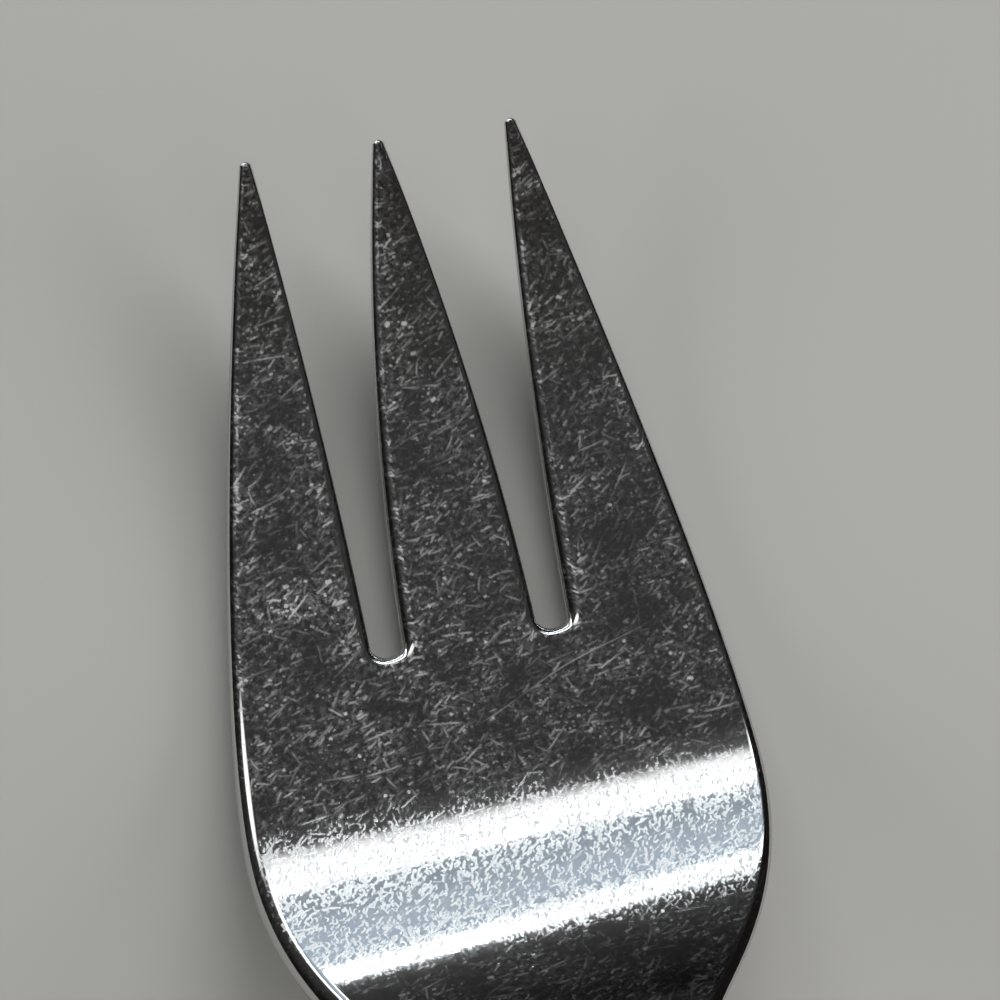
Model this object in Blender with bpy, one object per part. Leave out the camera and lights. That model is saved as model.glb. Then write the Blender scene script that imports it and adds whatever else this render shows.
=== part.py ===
"""Meat fork with three broad tines: a stamped steel fork whose flat tang is riveted between two wooden scales.

Metres, +Z up. The fork lies face up as it rests on a table: +Y runs from the handle to the tine tips, and
the origin is on the table under the middle of its length. A station is a distance from the tine tips,
measured along the middle of the steel.
"""

import math

import bmesh
import bpy
from mathutils import Vector

# Flat outline of the tines and the head
TINE_LENGTH = 0.0399
TIP_PITCH = 0.01035
TIP_WIDTH = 0.0010
MIDDLE_TINE_BOW = 0.00089
OUTER_TINE_BOW = 0.00037
SLOT_PITCH = 0.01255
SLOT_WIDTH = 0.0024
SLOT_ROOT_DEPTH = 0.00085
HEAD_WIDTH = 0.0383
HEAD_STATION = 0.0525
HEAD_REACH = 0.0189
SHOULDER_REACH = 0.0185

# Flat outline of the neck and the tang
NECK_WIDTH = 0.0086
NECK_SETBACK = 0.0015
NECK_REACH = 0.0143
TANG_WIDTH = 0.0190
TANG_LENGTH = 0.1325
TANG_FRONT_REACH = 0.0080
TANG_REAR_REACH = 0.0700
BUTT_LENGTH = 0.0160

# Thickness of the steel
TIP_THICKNESS = 0.0010
ROOT_THICKNESS = 0.0020
NECK_THICKNESS = 0.0032
TANG_THICKNESS = 0.0024

# Edges of the steel, as shares of its thickness, and the narrower ones at the tips
EDGE_ARC_SHARE = 0.75
EDGE_ARC_TURN = math.radians(45.0)
WALL_SHARE = 0.50
WALL_DRAFT = math.radians(10.0)
TIP_EDGE_SHARE = 0.55
TIP_EDGE_LENGTH = 0.0080

# Side profile: three bends of the steel, then the straight tang
TIP_RISE = math.radians(20.0)
ROOT_SLOPE = math.radians(2.0)
NECK_SLOPE = math.radians(40.0)
TINE_BEND_RADIUS = 0.1042
SHOULDER_BEND_RADIUS = 0.0500
NECK_BEND_RADIUS = 0.0225

# Handle scales
SCALE_SETBACK = 0.0145
SCALE_THICKNESS = 0.0046
SCALE_ROUND_INSET = 0.0026
SCALE_ROUND_DROP = 0.0030
GLUE_LINE = 0.0001

# Two-part rivets
RIVET_END_MARGIN = 0.0145
RIVET_HEAD_DIAMETER = 0.0055
RIVET_HEAD_THICKNESS = 0.0010
RIVET_HEAD_CHAMFER = 0.0002
RIVET_HEAD_RECESS = 0.00005
SLEEVE_DIAMETER = 0.0040
SLEEVE_WALL = 0.0007
SLEEVE_END_GAP = 0.0012
POST_END_GAP = 0.0006
SLEEVE_BORE_FLOOR = 0.0008
PRESS_CLEARANCE = 0.00005
HOLE_CLEARANCE = 0.0001

# Fineness of the mesh
EDGE_STEPS = 10
TIP_STEPS = 6
SLOT_STEPS = 8
BUTT_STEPS = 12
ROUND_STEPS = 3
RIVET_STEPS = 24
BEND_STEP = 0.0040
SHARP_ANGLE = math.radians(40.0)
CUTTER_OVERRUN = 0.0010
MERGE_DISTANCE = 0.000001


def eased(value, start, end):
    """0 before start, 1 after end and a smooth step between them."""
    share = min(max((value - start) / (end - start), 0.0), 1.0)
    return share * share * (3.0 - 2.0 * share)


def half_grip():
    """Distance from the middle of the tang to the outer face of a scale."""
    return TANG_THICKNESS / 2 + GLUE_LINE + SCALE_THICKNESS


def rest_slope():
    """Fall of the tang towards its butt that lets the lower scale and the belly of the head touch one table."""
    belly = thickness_before_neck(TIP_RISE * TINE_BEND_RADIUS) / 2
    rise = belly + TINE_BEND_RADIUS * (1.0 - math.cos(ROOT_SLOPE))
    rise += SHOULDER_BEND_RADIUS * (math.cos(ROOT_SLOPE) - math.cos(NECK_SLOPE))
    across = NECK_BEND_RADIUS - half_grip()
    along = TANG_LENGTH - SCALE_ROUND_INSET
    drop = NECK_BEND_RADIUS * math.cos(NECK_SLOPE) - rise
    return math.acos(drop / math.hypot(across, along)) - math.atan2(along, across)


def thickness_before_neck(station):
    """Thickness of the tines, thinnest at the tips."""
    return TIP_THICKNESS + (ROOT_THICKNESS - TIP_THICKNESS) * eased(station, 0.0, TINE_LENGTH)


def bends():
    """Radius, first slope and last slope of each bend, where a rise towards the handle is positive."""
    return (
        (TINE_BEND_RADIUS, -TIP_RISE, ROOT_SLOPE),
        (SHOULDER_BEND_RADIUS, ROOT_SLOPE, NECK_SLOPE),
        (NECK_BEND_RADIUS, NECK_SLOPE, -rest_slope()),
    )


def tang_station():
    """Station where the last bend ends and the tang begins."""
    return sum(radius * abs(last - first) for radius, first, last in bends())


def neck_station():
    """Station of the narrowest place of the neck."""
    return tang_station() + NECK_SETBACK


def scale_station():
    """Station of the front end of the scales."""
    return tang_station() + SCALE_SETBACK


def butt_station():
    """Station of the rear end of the tang."""
    return tang_station() + TANG_LENGTH


def thickness(station):
    """Thickness of the steel: it grows from the tips to the neck, and the tang is ground thinner."""
    value = thickness_before_neck(station)
    value += (NECK_THICKNESS - ROOT_THICKNESS) * eased(station, TINE_LENGTH, neck_station())
    value += (TANG_THICKNESS - NECK_THICKNESS) * eased(station, neck_station(), scale_station())
    return value


def edge_size(station):
    """Width of the edges' shape for one share: the thickness, less at the tips and none under the scales."""
    at_tip = TIP_EDGE_SHARE + (1.0 - TIP_EDGE_SHARE) * eased(station, 0.0, TIP_EDGE_LENGTH)
    return thickness(station) * at_tip * (1.0 - eased(station, neck_station(), scale_station()))


def edge_profile():
    """Inset and height of the points up the steel's edge: a small arc rises from the lower face, a wall leans
    in by its draft, and a wide arc rolls over to the upper face. Insets are shares, and heights run from -1 to 1."""
    arc_drop = EDGE_ARC_SHARE * (1.0 - math.cos(EDGE_ARC_TURN))
    foot = (1.0 - WALL_SHARE - arc_drop) / (1.0 + math.sin(WALL_DRAFT))
    points = []
    for step in range(ROUND_STEPS + 1):
        turn = step / ROUND_STEPS * (math.pi / 2 + WALL_DRAFT)
        points.append((foot * math.sin(turn), foot * (1.0 - math.cos(turn))))
    out = points[-1][0] - WALL_SHARE * math.tan(WALL_DRAFT) - EDGE_ARC_SHARE * math.sin(EDGE_ARC_TURN)
    for step in range(ROUND_STEPS, -1, -1):
        turn = step / ROUND_STEPS * EDGE_ARC_TURN
        points.append((out + EDGE_ARC_SHARE * math.sin(turn), 1.0 - EDGE_ARC_SHARE * (1.0 - math.cos(turn))))
    widest = max(out for out, up in points)
    return [(widest - out, 2.0 * up - 1.0) for out, up in points]


def middle_line(station):
    """Y, Z and slope of the steel's middle surface at a station, with the tips at zero."""
    y = 0.0
    z = 0.0
    left = station
    slope = -TIP_RISE
    for radius, first, last in bends():
        turn = math.copysign(1.0 / radius, last - first)
        part = min(left, radius * abs(last - first))
        slope = first + turn * part
        y -= (math.sin(slope) - math.sin(first)) / turn
        z += (math.cos(first) - math.cos(slope)) / turn
        left -= part
        if left <= 0.0:
            return y, z, slope
    return y - left * math.cos(slope), z + left * math.sin(slope), slope


def pressed(flat):
    """Place of a point of the flat steel after pressing; its Z runs from -1 to 1 through the thickness."""
    station = -flat.y
    y, z, slope = middle_line(station)
    height = flat.z * thickness(station) / 2
    return Vector((flat.x, y + height * math.sin(slope), z + height * math.cos(slope)))


def bowed(start, end, bow, steps):
    """Points of a parabola from start to end that stands off its chord by the bow, on its left-hand side."""
    chord = end - start
    side = Vector((-chord.y, chord.x)).normalized()
    shares = [step / steps for step in range(steps + 1)]
    return [start + chord * share + side * (4.0 * bow * share * (1.0 - share)) for share in shares]


def bezier(first, first_handle, last_handle, last, steps):
    """Points of a cubic curve between two ends with their handles."""
    points = []
    for step in range(steps + 1):
        share = step / steps
        rest = 1.0 - share
        point = first * rest**3 + first_handle * (3.0 * share * rest**2)
        points.append(point + last_handle * (3.0 * share**2 * rest) + last * share**3)
    return points


def half_ellipse(centre, across, along, first, last, steps):
    """Points of an ellipse between two angles, counted from +X towards +Y."""
    angles = [first + (last - first) * step / steps for step in range(steps + 1)]
    return [centre + Vector((across * math.cos(a), along * math.sin(a))) for a in angles]


def tang_edge():
    """Right edge of the tang from the narrow neck to the middle of the butt."""
    neck = Vector((NECK_WIDTH / 2, -neck_station()))
    rear = Vector((TANG_WIDTH / 2, BUTT_LENGTH - butt_station()))
    front_handle = neck - Vector((0.0, TANG_FRONT_REACH))
    rear_handle = rear + Vector((0.0, TANG_REAR_REACH))
    side = bezier(neck, front_handle, rear_handle, rear, 2 * EDGE_STEPS)
    butt = half_ellipse(Vector((0.0, rear.y)), rear.x, BUTT_LENGTH, 0.0, -math.pi / 2, BUTT_STEPS)
    return side + butt[1:]


def fork_edge():
    """Right half of the flat outline, from the middle tine's tip round to the middle of the butt."""
    tip = TIP_WIDTH / 2
    slot = SLOT_WIDTH / 2
    root = SLOT_ROOT_DEPTH - TINE_LENGTH
    middle_tip = half_ellipse(Vector((0.0, -tip)), tip, tip, math.pi / 2, 0.0, TIP_STEPS // 2)
    slot_left = Vector((SLOT_PITCH / 2 - slot, root))
    middle_side = bowed(middle_tip[-1], slot_left, MIDDLE_TINE_BOW, EDGE_STEPS)
    slot_centre = Vector((SLOT_PITCH / 2, root))
    slot_root = half_ellipse(slot_centre, slot, SLOT_ROOT_DEPTH, math.pi, 2 * math.pi, SLOT_STEPS)
    outer_tip = half_ellipse(Vector((TIP_PITCH, -tip)), tip, tip, math.pi, 0.0, TIP_STEPS)
    outer_side = bowed(slot_root[-1], outer_tip[0], OUTER_TINE_BOW, EDGE_STEPS)
    widest = Vector((HEAD_WIDTH / 2, -HEAD_STATION))
    head_handle = widest + Vector((0.0, HEAD_REACH))
    head = bezier(outer_tip[-1], outer_tip[-1], head_handle, widest, 2 * EDGE_STEPS)
    neck = Vector((NECK_WIDTH / 2, -neck_station()))
    shoulder_handle = widest - Vector((0.0, SHOULDER_REACH))
    neck_handle = neck + Vector((0.0, NECK_REACH))
    shoulder = bezier(widest, shoulder_handle, neck_handle, neck, 2 * EDGE_STEPS)
    points = middle_tip
    for run in (middle_side, slot_root, outer_side, outer_tip, head, shoulder, tang_edge()):
        points = points + run[1:]
    return points


def both_sides(edge):
    """Whole outline from its right half; points on the middle line aren't doubled."""
    mirrored = [Vector((-point.x, point.y)) for point in reversed(edge) if point.x > MERGE_DISTANCE]
    return edge + mirrored


def inset_directions(outline):
    """At each corner of a clockwise outline, the step that moves both of its sides inwards by one."""
    directions = []
    for index, point in enumerate(outline):
        before = (point - outline[index - 1]).normalized()
        after = (outline[(index + 1) % len(outline)] - point).normalized()
        normals = Vector((before.y, -before.x)) + Vector((after.y, -after.x))
        directions.append(normals / (1.0 + before.dot(after)))
    return directions


def ringed_solid(outline, rings):
    """Closed mesh from an outline: each ring gives the inset at every corner and the height."""
    directions = inset_directions(outline)
    shape = bmesh.new()
    loops = []
    for insets, height in rings:
        places = [point + way * inset for point, way, inset in zip(outline, directions, insets)]
        loops.append([shape.verts.new((place.x, place.y, height)) for place in places])
    for lower, upper in zip(loops, loops[1:]):
        for index, corner in enumerate(lower):
            shape.faces.new((lower[index - 1], corner, upper[index], upper[index - 1]))
    shape.faces.new(loops[0])
    shape.faces.new(loops[-1])
    return shape


def finished_object(name, shape, material, parent):
    """Object from a mesh under work, with outward faces and smooth shading on its round parts."""
    bmesh.ops.triangulate(shape, faces=shape.faces[:])
    bmesh.ops.recalc_face_normals(shape, faces=shape.faces[:])
    mesh = bpy.data.meshes.new(name)
    shape.to_mesh(mesh)
    shape.free()
    mesh.shade_smooth()
    mesh.set_sharp_from_angle(angle=SHARP_ANGLE)
    mesh.materials.append(material)
    piece = bpy.data.objects.new(name, mesh)
    piece.parent = parent
    bpy.context.scene.collection.objects.link(piece)
    return piece


def make_fork_steel(material, parent):
    """The steel: its flat outline with shaped edges, cut into strips across the bends and then pressed."""
    outline = both_sides(fork_edge())
    sizes = [edge_size(-point.y) for point in outline]
    rings = [([size * inset for size in sizes], height) for inset, height in edge_profile()]
    shape = ringed_solid(outline, rings)
    for cut in range(1, math.ceil(scale_station() / BEND_STEP)):
        everything = shape.verts[:] + shape.edges[:] + shape.faces[:]
        place = (0.0, -cut * BEND_STEP, 0.0)
        bmesh.ops.bisect_plane(shape, geom=everything, dist=MERGE_DISTANCE, plane_co=place, plane_no=(0.0, 1.0, 0.0))
    for corner in shape.verts:
        corner.co = pressed(corner.co)
    return finished_object("fork_steel", shape, material, parent)


def make_scale(name, side, material, parent):
    """A scale: flat on the tang, flush with its outline, and rounded along its outer edge."""
    front = -scale_station()
    edge = tang_edge()
    behind = [point for point in edge if point.y < front - MERGE_DISTANCE]
    ahead = edge[len(edge) - len(behind) - 1]
    share = (front - ahead.y) / (behind[0].y - ahead.y)
    corner = ahead.lerp(behind[0], share)
    shift = Vector((0.0, tang_station()))
    outline = [point + shift for point in both_sides([corner] + behind)]
    seat = TANG_THICKNESS / 2 + GLUE_LINE
    wall = half_grip() - SCALE_ROUND_DROP
    rings = [([0.0] * len(outline), side * seat)]
    for step in range(ROUND_STEPS + 1):
        angle = step / ROUND_STEPS * math.pi / 2
        inset = SCALE_ROUND_INSET * (1.0 - math.cos(angle))
        rings.append(([inset] * len(outline), side * (wall + SCALE_ROUND_DROP * math.sin(angle))))
    return finished_object(name, ringed_solid(outline, rings), material, parent)


def turned_shape(profile):
    """Closed mesh turned about Z from radius and height pairs that begin and end on the axis."""
    shape = bmesh.new()
    corners = [shape.verts.new((radius, 0.0, height)) for radius, height in profile]
    edges = [shape.edges.new(pair) for pair in zip(corners, corners[1:])]
    bmesh.ops.spin(
        shape,
        geom=corners + edges,
        cent=(0.0, 0.0, 0.0),
        axis=(0.0, 0.0, 1.0),
        angle=2 * math.pi,
        steps=RIVET_STEPS,
        use_merge=True,
    )
    bmesh.ops.remove_doubles(shape, verts=shape.verts[:], dist=MERGE_DISTANCE)
    return shape


def make_sleeve(name, place, material, parent):
    """Tubular half of a rivet: a head in the upper scale and a body with a blind bore."""
    head = RIVET_HEAD_DIAMETER / 2
    body = SLEEVE_DIAMETER / 2
    bore = body - SLEEVE_WALL
    top = half_grip() - RIVET_HEAD_RECESS
    under_head = top - RIVET_HEAD_THICKNESS
    end = RIVET_HEAD_THICKNESS + SLEEVE_END_GAP - half_grip()
    floor = under_head - SLEEVE_BORE_FLOOR
    profile = [(0.0, floor), (bore, floor), (bore, end), (body, end), (body, under_head), (head, under_head)]
    profile += [(head, top - RIVET_HEAD_CHAMFER), (head - RIVET_HEAD_CHAMFER, top), (0.0, top)]
    piece = finished_object(name, turned_shape(profile), material, parent)
    piece.location = (0.0, place, 0.0)
    return piece


def make_post(name, place, material, parent):
    """Solid half of a rivet: a head in the lower scale and a shank pressed into the sleeve's bore."""
    head = RIVET_HEAD_DIAMETER / 2
    shank = SLEEVE_DIAMETER / 2 - SLEEVE_WALL - PRESS_CLEARANCE
    bottom = RIVET_HEAD_RECESS - half_grip()
    over_head = bottom + RIVET_HEAD_THICKNESS
    bore_floor = half_grip() - RIVET_HEAD_RECESS - RIVET_HEAD_THICKNESS - SLEEVE_BORE_FLOOR
    end = bore_floor - POST_END_GAP
    profile = [(0.0, bottom), (head - RIVET_HEAD_CHAMFER, bottom), (head, bottom + RIVET_HEAD_CHAMFER)]
    profile += [(head, over_head), (shank, over_head), (shank, end), (0.0, end)]
    piece = finished_object(name, turned_shape(profile), material, parent)
    piece.location = (0.0, place, 0.0)
    return piece


def make_drill(name, side, place, parent):
    """Stepped cutter for a rivet's hole through the tang and one scale, and for its head's seat in that scale."""
    hole = SLEEVE_DIAMETER / 2 + HOLE_CLEARANCE
    head = RIVET_HEAD_DIAMETER / 2 + HOLE_CLEARANCE
    start = -TANG_THICKNESS / 2 - CUTTER_OVERRUN
    seat = half_grip() - RIVET_HEAD_RECESS - RIVET_HEAD_THICKNESS - HOLE_CLEARANCE
    end = half_grip() + CUTTER_OVERRUN
    profile = [(0.0, start), (hole, start), (hole, seat), (head, seat), (head, end), (0.0, end)]
    shape = turned_shape([(radius, side * height) for radius, height in profile])
    cutter = finished_object(name, shape, None, parent)
    cutter.location = (0.0, place, 0.0)
    cutter.hide_render = True
    cutter.display_type = "WIRE"
    return cutter


def drill(piece, cutter):
    """Cut one cutter's shape out of a piece."""
    cut = piece.modifiers.new(cutter.name, "BOOLEAN")
    cut.operation = "DIFFERENCE"
    cut.solver = "EXACT"
    cut.object = cutter


def rivet_places():
    """Distance of each rivet from the front of the tang, with its name; the middle one is halfway."""
    front = -SCALE_SETBACK - RIVET_END_MARGIN
    rear = RIVET_END_MARGIN - TANG_LENGTH
    return (("front", front), ("middle", (front + rear) / 2), ("rear", rear))


def make_material(name, colour, metallic, roughness):
    """Plain surface with one colour."""
    material = bpy.data.materials.new(name)
    material.use_nodes = True
    shader = material.node_tree.nodes["Principled BSDF"]
    shader.inputs["Base Color"].default_value = (*colour, 1.0)
    shader.inputs["Metallic"].default_value = metallic
    shader.inputs["Roughness"].default_value = roughness
    return material


def make_frame(name, parent):
    """Empty that other pieces hang on."""
    frame = bpy.data.objects.new(name, None)
    frame.parent = parent
    bpy.context.scene.collection.objects.link(frame)
    return frame


def settle(frame, pieces):
    """Move the fork so that the origin is under the middle of its length, where it rests."""
    bpy.context.view_layer.update()
    graph = bpy.context.evaluated_depsgraph_get()
    points = []
    for piece in pieces:
        shown = piece.evaluated_get(graph)
        points += [shown.matrix_world @ corner.co for corner in shown.to_mesh().vertices]
        shown.to_mesh_clear()
    lengths = [point.y for point in points]
    frame.location = (0.0, -(min(lengths) + max(lengths)) / 2, -min(point.z for point in points))


def main():
    for old in list(bpy.data.objects):
        bpy.data.objects.remove(old, do_unlink=True)
    steel = make_material("polished_stainless_steel", (0.55, 0.54, 0.52), 1.0, 0.18)
    wood = make_material("oiled_hardwood", (0.10, 0.045, 0.022), 0.0, 0.45)
    brass = make_material("turned_brass", (0.70, 0.50, 0.22), 1.0, 0.28)
    fork_frame = make_frame("fork_frame", None)
    tang_frame = make_frame("tang_frame", fork_frame)
    y, z, slope = middle_line(tang_station())
    tang_frame.location = (0.0, y, z)
    tang_frame.rotation_euler = (-slope, 0.0, 0.0)
    fork = make_fork_steel(steel, fork_frame)
    upper = make_scale("upper_scale", 1.0, wood, tang_frame)
    lower = make_scale("lower_scale", -1.0, wood, tang_frame)
    pieces = [fork, upper, lower]
    for name, place in rivet_places():
        pieces.append(make_sleeve(f"{name}_rivet_sleeve", place, brass, tang_frame))
        pieces.append(make_post(f"{name}_rivet_post", place, brass, tang_frame))
        upper_drill = make_drill(f"{name}_upper_drill", 1.0, place, tang_frame)
        drill(fork, upper_drill)
        drill(upper, upper_drill)
        drill(lower, make_drill(f"{name}_lower_drill", -1.0, place, tang_frame))
    settle(fork_frame, pieces)


main()
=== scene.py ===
"""Meat fork with riveted wooden scales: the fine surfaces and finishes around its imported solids.

Every piece is worked out with numpy in metres, in the solids' own frame: +Y runs to the tine tips, +Z is up
and the table is at Z = 0. A station is a distance from the tine tips, measured along the middle of the steel.
"""

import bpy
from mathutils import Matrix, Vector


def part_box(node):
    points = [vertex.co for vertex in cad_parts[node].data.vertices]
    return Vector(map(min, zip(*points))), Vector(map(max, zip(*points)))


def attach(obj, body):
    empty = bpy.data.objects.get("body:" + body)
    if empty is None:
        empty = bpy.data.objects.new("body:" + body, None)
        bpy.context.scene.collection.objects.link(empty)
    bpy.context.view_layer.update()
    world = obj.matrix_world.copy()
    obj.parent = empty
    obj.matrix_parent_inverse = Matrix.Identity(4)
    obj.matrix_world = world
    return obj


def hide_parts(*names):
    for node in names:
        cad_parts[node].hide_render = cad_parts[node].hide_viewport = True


bl_info = {
    "name": "Riveted meat fork",
    "version": (1, 0, 0),
    "blender": (4, 5, 0),
    "location": "3D View > Sidebar > Fork",
    "description": "Makes the pressed steel, the wooden scales and the brass rivets of a meat fork",
    "category": "Add Mesh",
}

import math

import bmesh
import bpy
import numpy as np
from mathutils import Matrix, Vector

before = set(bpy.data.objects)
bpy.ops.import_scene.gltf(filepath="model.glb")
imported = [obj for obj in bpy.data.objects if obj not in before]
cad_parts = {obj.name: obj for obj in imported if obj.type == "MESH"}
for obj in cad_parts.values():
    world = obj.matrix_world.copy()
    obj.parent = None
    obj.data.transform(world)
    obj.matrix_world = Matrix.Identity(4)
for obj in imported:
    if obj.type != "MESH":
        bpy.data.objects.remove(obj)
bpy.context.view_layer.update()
STEEL_LOW, STEEL_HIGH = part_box("fork_steel")

BODY = "root"
MM = 0.001
WELD = 1e-7
# Flat maps hold the surface laid flat, in units of this length.
MAP_UNIT = 100 * MM
FLAT_MAP = "flat_pattern"
SHEARED = "sheared"
# The worn mark holds real wear, and on the tines' left-facing edges also a painted highlight along the rim.
WORN = "worn"
# With this setting a Map Range node eases in and out.
SMOOTH = {"interpolation_type": "SMOOTHSTEP"}
RIVET_NAMES = ("front", "middle", "rear")


def length(title, text, default):
    """A length in metres that a user can set."""
    return bpy.props.FloatProperty(name=title, description=text, default=default, unit="LENGTH", precision=5)


def angle(title, text, degrees):
    """An angle that a user can set, given in degrees."""
    turn = math.radians(degrees)
    return bpy.props.FloatProperty(name=title, description=text, default=turn, subtype="ANGLE")


def portion(title, text, default):
    """A part of a whole that a user can set."""
    return bpy.props.FloatProperty(name=title, description=text, default=default, subtype="FACTOR")


def linear(hex_colour):
    """Linear red, green and blue of an sRGB hex colour such as #c0ffee."""
    coded = [int(hex_colour[place : place + 2], 16) / 255 for place in (1, 3, 5)]
    return tuple(part / 12.92 if part <= 0.04045 else ((part + 0.055) / 1.055) ** 2.4 for part in coded)


def colour(title, text, hex_colour):
    """A colour that a user can set, given as an sRGB hex value."""
    return bpy.props.FloatVectorProperty(
        name=title, description=text, default=linear(hex_colour), size=3, subtype="COLOR", min=0.0, max=1.0
    )


class ForkSteelSizes(bpy.types.PropertyGroup):
    """Sizes of the pressed steel: its flat outline, its thickness and its bends."""

    tine_length: length("Tine length", "Tips to slot roots along the steel", 0.0399)
    tip_pitch: length("Tip pitch", "Between neighbouring tine tips", 0.01035)
    tip_width: length("Tip width", "Width of each blunt tip", 0.0010)
    middle_tine_bow: length("Middle tine bow", "Outward bow of the middle tine's edges", 0.00089)
    outer_tine_bow: length("Outer tine bow", "Bow of an outer tine's inner edge", 0.00037)
    slot_pitch: length("Slot pitch", "Between the two slot roots", 0.01255)
    slot_width: length("Slot width", "Width of a slot at its root", 0.0024)
    slot_root_depth: length("Slot root depth", "Depth of a slot's rounded root", 0.00085)
    head_width: length("Head width", "Widest place of the head", 0.0383)
    head_station: length("Head station", "Station of the widest place", 0.0525)
    head_reach: length("Head reach", "Curve handle in front of the widest place", 0.0189)
    shoulder_reach: length("Shoulder reach", "Curve handle behind the widest place", 0.0185)
    neck_width: length("Neck width", "Narrowest place of the neck", 0.0086)
    neck_setback: length("Neck setback", "Narrowest place behind the last bend", 0.0015)
    neck_reach: length("Neck reach", "Curve handle in front of the neck", 0.0143)
    tang_width: length("Tang width", "Widest place of the tang", 0.0190)
    tang_length: length("Tang length", "Straight tang behind the last bend", 0.1325)
    tang_front_reach: length("Tang front reach", "Curve handle behind the neck", 0.0080)
    tang_rear_reach: length("Tang rear reach", "Curve handle in front of the butt", 0.0700)
    butt_length: length("Butt length", "Length of the rounded butt", 0.0160)
    tip_thickness: length("Tip thickness", "Steel at the tine tips", 0.0010)
    root_thickness: length("Root thickness", "Steel at the slot roots", 0.0020)
    neck_thickness: length("Neck thickness", "Steel at the neck", 0.0032)
    tang_thickness: length("Tang thickness", "Steel between the scales", 0.0024)
    rolled_arc_share: portion("Rolled arc", "Radius of the left-facing edges for one thickness", 0.62)
    rolled_arc_turn: angle("Rolled turn", "How far the left-facing edges roll over", 66.0)
    rolled_wall_share: portion("Rolled wall", "Wall height of the left-facing edges for one thickness", 0.45)
    rolled_undercut: angle("Rolled undercut", "Lean of that wall back under the edge", 12.0)
    cut_arc_share: portion("Cut arc", "Radius of the right-facing edges for one thickness", 0.42)
    cut_arc_turn: angle("Cut turn", "How far the right-facing edges roll over", 48.0)
    cut_wall_share: portion("Cut wall", "Wall height of the right-facing edges for one thickness", 0.75)
    cut_undercut: angle("Cut undercut", "Lean of that wall back under the edge", 28.0)
    edge_corner_share: portion("Edge corner", "Radius between arc and wall for one thickness", 0.10)
    tip_edge_share: portion("Tip edges", "Width of the edges at the tips, against elsewhere", 0.80)
    tip_edge_length: length("Tip edge length", "Stretch where the edges reach their full width", 0.0080)
    tip_rise: angle("Tip rise", "Upward slope of the tines at their tips", 20.0)
    root_slope: angle("Root slope", "Slope near the slot roots", 2.0)
    neck_slope: angle("Neck slope", "Steepest slope below the neck", 40.0)
    tine_bend_radius: length("Tine bend radius", "Bend along the tines", 0.1042)
    shoulder_bend_radius: length("Shoulder bend radius", "Bend of the shoulder", 0.0500)
    neck_bend_radius: length("Neck bend radius", "Counter bend of the neck", 0.0225)
    bend_blend: length("Bend blend", "Stretch over which one bend eases into the next", 0.0030)
    rubbed_width: length("Rubbed width", "Strip along the edges that wears first", 0.0018)
    wear_end: length("Wear end", "Station behind which the steel hardly wears", 0.0690)


class ForkHandleSizes(bpy.types.PropertyGroup):
    """Sizes of the two scales and of the rivets that hold them."""

    scale_setback: length("Scale setback", "Front of the scales behind the last bend", 0.0145)
    scale_thickness: length("Scale thickness", "Wood over the tang", 0.0046)
    scale_round_inset: length("Rounding width", "Width of the rounded outer edge", 0.0026)
    scale_round_drop: length("Rounding depth", "Depth of the rounded outer edge", 0.0030)
    scale_nose: length("Nose length", "Length of the rounded front corners", 0.0024)
    glue_line: length("Glue line", "Gap between tang and scale in the solids", 0.0001)
    hairline: length("Hairline", "Gap that still shows as a dark line", 0.00003)
    rivet_end_margin: length("Rivet margin", "From the ends of a scale to its outer rivets", 0.0145)
    rivet_head_diameter: length("Rivet head", "Diameter of a head", 0.0055)
    rivet_head_thickness: length("Head thickness", "Thickness of a head", 0.0010)
    rivet_head_chamfer: length("Head chamfer", "Broken edge of a head", 0.0002)
    rivet_head_recess: length("Head recess", "Head below the face of its scale", 0.00005)
    sleeve_diameter: length("Sleeve diameter", "Outside of the tubular half", 0.0040)
    sleeve_wall: length("Sleeve wall", "Wall of the tubular half", 0.0007)
    sleeve_end_gap: length("Sleeve end gap", "From the sleeve's end to the other head", 0.0012)
    sleeve_bore_floor: length("Bore floor", "Solid metal between the bore and the head", 0.0008)
    post_end_gap: length("Post end gap", "From the post's end to the bore's floor", 0.0006)
    press_clearance: length("Press clearance", "Between post and bore in the solids", 0.00005)
    hole_clearance: length("Hole clearance", "Between a rivet and its drilled hole", 0.0001)


class ForkFinish(bpy.types.PropertyGroup):
    """Colours of the materials and of the stage."""

    steel: colour("Steel", "Polished stainless steel", "#c8c8c7")
    wood_dark: colour("Dark grain", "Late wood and pores", "#2a150c")
    wood_light: colour("Light grain", "Early wood", "#6a3a20")
    brass: colour("Brass", "Turned brass", "#d8b46a")
    floor: colour("Floor", "Pale matte floor", "#a9a8a4")


def eased(value, start, end):
    """0 before start, 1 after end, and 3 t^2 - 2 t^3 of the share t between them."""
    share = np.clip((value - start) / (end - start), 0.0, 1.0)
    return share * share * (3.0 - 2.0 * share)


def lerp(first, last, share):
    """Straight mix of two arrays: the first at share 0 and the last at share 1."""
    return first + (last - first) * share


def bezier(points, share):
    """Cubic curve of four points, each weighted by its Bernstein polynomial of the share."""
    rest = 1.0 - share
    weights = np.stack([rest**3, 3 * share * rest**2, 3 * share**2 * rest, share**3], -1)
    return weights @ np.asarray(points)


def bowed(start, end, bow, share):
    """Parabola over the chord from start to end that stands off it by the bow on its left-hand side."""
    start, end = np.asarray(start), np.asarray(end)
    chord = end - start
    side = np.array([-chord[1], chord[0]]) / np.hypot(*chord)
    return start + np.outer(share, chord) + np.outer(4 * bow * share * (1 - share), side)


def ellipse(centre, across, along, first, last, share):
    """Part of an ellipse: the angle runs from first to last, counted from +X towards larger stations."""
    turn = lerp(first, last, share)
    return np.asarray(centre) + np.stack([across * np.cos(turn), along * np.sin(turn)], -1)


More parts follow.
